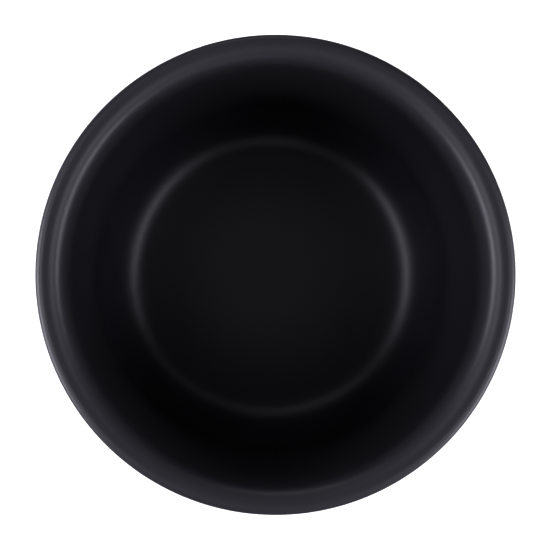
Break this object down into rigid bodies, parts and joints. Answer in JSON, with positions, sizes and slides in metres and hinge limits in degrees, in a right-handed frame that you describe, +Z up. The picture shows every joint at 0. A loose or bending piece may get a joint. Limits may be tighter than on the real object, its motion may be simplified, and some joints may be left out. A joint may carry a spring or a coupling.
{
  "type": "empty candle jar",
  "caption": "Empty round candle jar: a heavy-based glass tumbler with a soft rounded lip, lacquered matte black inside and out, ready for a wick and poured wax.",
  "frame": {"origin": "centre of the bearing plane that the jar stands on", "axes": "+Z up the jar's axis, out of its mouth; the jar is the same all the way round, so +X and +Y are free"},
  "size_m": [0.08, 0.08, 0.092],
  "materials": {
    "clear_glass": "fire-polished soda-lime glass, bare only on the bearing ring and the recess under the base",
    "exterior_lacquer": "sprayed satin-matte black lacquer with a fine even grain",
    "interior_lacquer": "sprayed satin-matte black lacquer with a fine even grain"
  },
  "bodies": {
    "root": {"glass_body": "clear_glass", "exterior_lacquer": "exterior_lacquer", "interior_lacquer": "interior_lacquer"}
  },
  "joints": []
}
